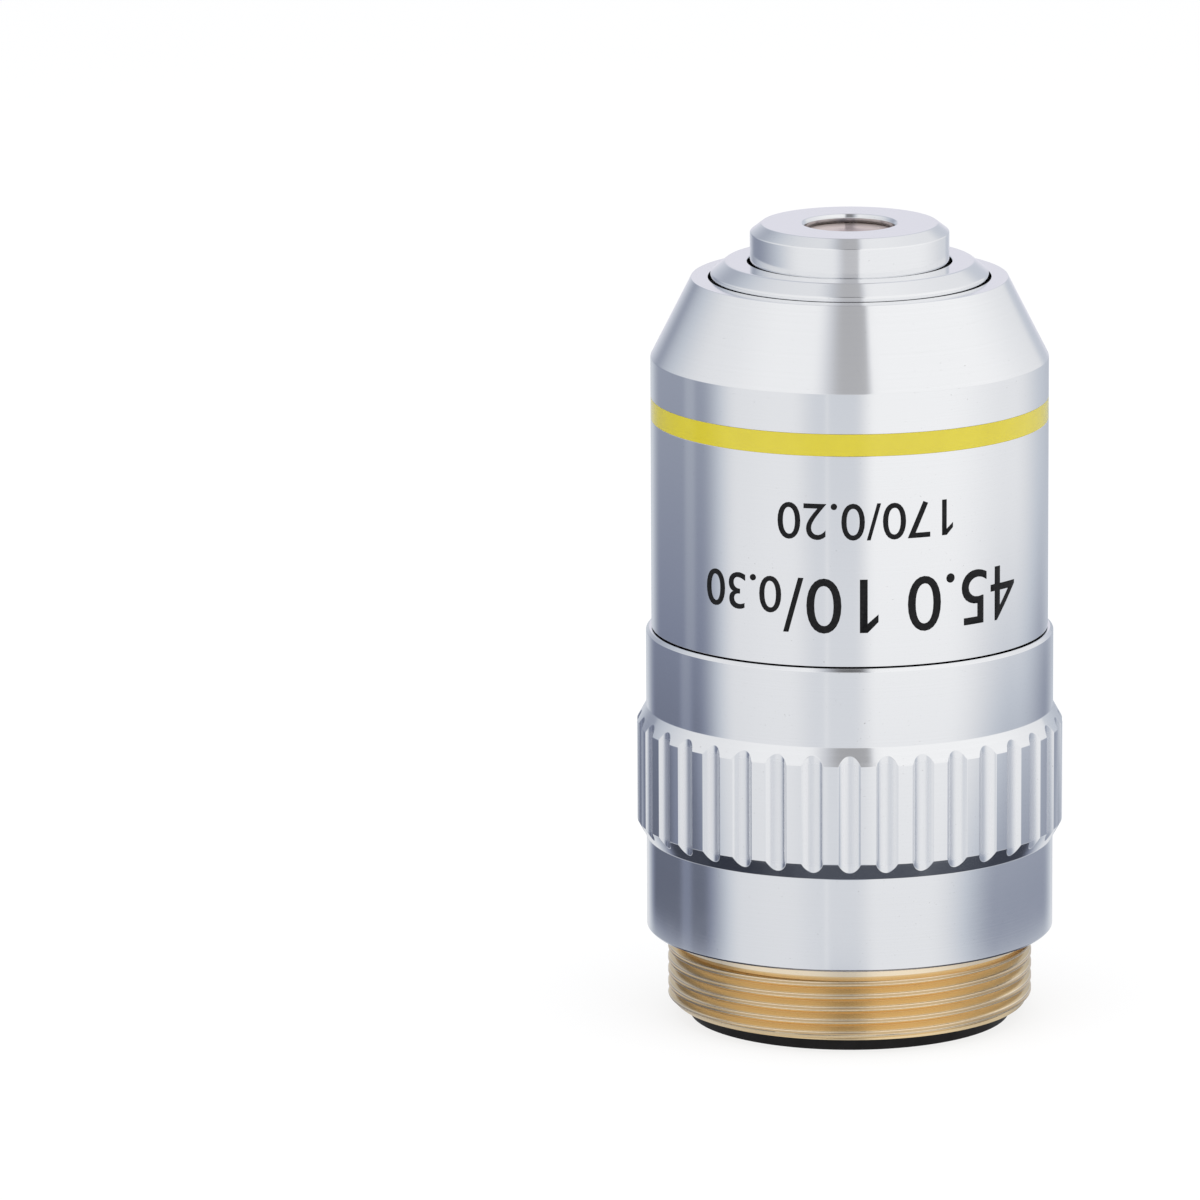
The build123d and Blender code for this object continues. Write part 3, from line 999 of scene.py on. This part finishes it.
def light_tent():
    """World light: two panels, a grey gap at the camera, a backdrop, and dark close to the table."""
    world = bpy.data.worlds.new("light_tent")
    bpy.context.scene.world = world
    nodes = Nodes(world)
    direction = nodes.node("ShaderNodeTexCoord", output="Generated")
    x = nodes.node("ShaderNodeSeparateXYZ", None, {0: direction})
    z = x.other("Z")
    azimuth = turn_from_camera(x, x.other("Y"))
    elevation = z.math("ARCSINE", z) * math.degrees(1)
    around = abs(azimuth)
    left, right = panel_levels(azimuth, elevation)
    gap = camera_gap(around, elevation)
    on_left = (-x).rise(0.06 - 0.03 * elevation.rise(50, 85), 0.34 - 0.12 * elevation.rise(50, 85))
    on_right = (x + 0.085 * elevation.rise(41, 85)).rise(0.15, 0.21)
    level = blend(blend(gap, on_left, left), on_right, right)
    grey = nodes.node("ShaderNodeCombineColor", None, {0: level, 1: level, 2: gap_blue * level})
    colour = nodes.mix((1 - on_left) * (1 - on_right), cloth_colour(nodes, level), grey)
    backdrop = nodes.mix(around.rise(160, 176), *backdrop_colours)
    colour = nodes.mix(around.rise(143, 165) * (1 - elevation.rise(45, 70)), colour, backdrop)
    aside = (-azimuth).rise(40, 80) + 0.5 * azimuth.rise(90, 125)
    under = nodes.mix(aside, *under_colours)
    in_front = 1 - around.rise(70, 100)
    colour = nodes.mix((elevation + 30 * in_front).rise(-34, -26), under, colour)
    camera = nodes.node("ShaderNodeLightPath", output="Is Camera Ray")
    colour = nodes.mix(camera, colour, (1.0, 1.0, 1.0))
    background = nodes.node("ShaderNodeBackground", None, {"Color": colour, "Strength": 1.0})
    nodes.node("ShaderNodeOutputWorld", None, {"Surface": background})


def tent_wall_light(nodes):
    """Cloth round the object, as its sides reflect it: dim behind, and bright again on the table.

    Angles are degrees from the camera's side, and heights are millimetres above the table.
    """
    x, y, z = nodes.place()[1:]
    azimuth = turn_from_camera(x, y)
    height = z * (1 / MM)
    low = 1 - height.rise(-8, 8)
    around = abs(azimuth)
    left_streak = 1 - abs(azimuth + 99).rise(2, 7)
    left_behind = wall_left_behind_level + 0.20 * height.rise(-10, 30) + 0.08 * left_streak
    left_panel = wall_left_panel_level + 0.07 * height.rise(-12, 14) + 0.04 * azimuth.rise(-66, -38)
    right_panel = wall_right_panel_level + 0.13 * height.rise(-12, 18) + 0.02 * height.rise(14, 26)
    right_behind = wall_right_behind_level + 0.57 * height.rise(-10, 20)
    right_behind = right_behind - 0.28 * azimuth.rise(102, 142) * height.rise(-6, 6)
    gap = wall_gap_level - 0.05 * height.rise(12, 26)
    level = blend(left_behind, (azimuth - 4 * low).rise(-90, -62), left_panel)
    level = blend(level, azimuth.rise(-32, -16), gap)
    level = level + wall_streak_rise * (1 - abs(azimuth + 11.8).rise(0.3, 1.1))
    level = blend(level, azimuth.rise(2, 14), right_panel)
    level = blend(level, (azimuth + 12 * low).rise(52, 98), right_behind)
    backdrop = wall_backdrop_level + 0.15 * low - 0.11 * azimuth.rise(-10, 10)
    level = blend(level, around.rise(135, 158), backdrop)
    table_gap = azimuth.rise(-20, -6) - azimuth.rise(8, 14)
    table = wall_table_level + 0.14 * azimuth.rise(0, 14) - 0.14 * azimuth.rise(45, 90)
    level = blend(level, 1 - height.rise(-13.5, -9.5), table - 0.42 * table_gap)
    under = (1 - height.rise(-38, -18)) * around.rise(70, 100) * (1 - around.rise(152, 166))
    level = blend(level, under, wall_under_level)
    return nodes.node("ShaderNodeEmission", None, {"Color": cloth_colour(nodes, level), "Strength": 1.0})


def table_light(nodes):
    """Table close to the foot of the thread, in the light of the tent."""
    grain = nodes.noise(nodes.place()[0], floor_grain_scale)
    colour = nodes.mix(grain, *table_colours)
    return nodes.node("ShaderNodeEmission", None, {"Color": colour, "Strength": 1.0})


def reflected_ring(name, low, high, write):
    """A lit ring between two (radius, height) ends, which only shows in polished metal."""
    bm = bmesh.new()
    ends = [bm.verts.new((0, -radius, height)) for radius, height in (low, high)]
    bm.edges.new(ends)
    bmesh.ops.spin(bm, geom=bm.verts[:] + bm.edges[:], cent=(0, 0, 0), axis=(0, 0, 1),
                   dvec=(0, 0, 0), angle=FULL_TURN, steps=wall_steps, use_merge=True)
    mesh = bpy.data.meshes.new(name)
    bm.to_mesh(mesh)
    bm.free()
    light = finished(write.__name__, write)
    light.cycles.emission_sampling = "NONE"
    mesh.materials.append(light)
    made = bpy.data.objects.new(name, mesh)
    bpy.context.scene.collection.objects.link(made)
    made.visible_camera = False
    made.visible_diffuse = False
    made.visible_shadow = False
    made.visible_transmission = False


lamp_size = 0.5
lamp_energy = 2.0
lamp_place = (0, -0.1, 0.6)


def top_lamp():
    """Soft lamp above the table, which only gives the floor and the dull finishes their light."""
    light = bpy.data.lights.new("top_lamp", "AREA")
    light.shape = "DISK"
    light.size = lamp_size
    light.energy = lamp_energy
    made = bpy.data.objects.new("top_lamp", light)
    made.location = lamp_place
    made.visible_glossy = False
    made.visible_camera = False
    bpy.context.scene.collection.objects.link(made)


# The camera stands where the photograph was taken
camera_aim = Vector((0, 0, 22.4 * MM))
camera_distance = 640 * MM
camera_elevation = math.radians(12.5)
camera_yaw = math.radians(-1.240)
camera_pitch = math.radians(0.092)
camera_lens = 345.9
camera_sensor = 36.0
camera_clip_start = 0.01
camera_clip_end = 10


def photo_camera():
    data = bpy.data.cameras.new("photo_camera")
    data.lens = camera_lens
    data.sensor_width = camera_sensor
    data.clip_start = camera_clip_start
    data.clip_end = camera_clip_end
    ahead = Vector((0, math.cos(camera_elevation), -math.sin(camera_elevation)))
    right = Vector((1, 0, 0))
    up = right.cross(ahead)
    turned_ahead = math.cos(camera_yaw) * ahead + math.sin(camera_yaw) * right
    right = math.cos(camera_yaw) * right - math.sin(camera_yaw) * ahead
    pitched_ahead = math.cos(camera_pitch) * turned_ahead + math.sin(camera_pitch) * up
    up = right.cross(pitched_ahead)
    turn = Matrix((right, up, -pitched_ahead)).transposed()
    made = bpy.data.objects.new("photo_camera", data)
    made.matrix_world = Matrix.Translation(camera_aim - camera_distance * ahead) @ turn.to_4x4()
    bpy.context.scene.collection.objects.link(made)
    bpy.context.scene.camera = made


slots = {part["node"]: part["material_slot"] for part in frame["record"]["subparts"]}
for name, node in frame["nodes"].items():
    node.data.materials.clear()
    node.data.materials.append(finishes[slots[name]])

chromed_barrel()
enamel_ring()
fluted_sleeve()
threaded_mount()
bevelled_tube()
nose()
coated_front_lens()
printed_figures()
floor()
light_tent()
reflected_ring("tent_wall", (wall_r, wall_low_z), (wall_r, wall_high_z), tent_wall_light)
reflected_ring("table_ring", (table_ring_inner_r, 0), (table_ring_outer_r, 0), table_light)
top_lamp()
photo_camera()
bpy.context.scene.view_settings.view_transform = "Standard"
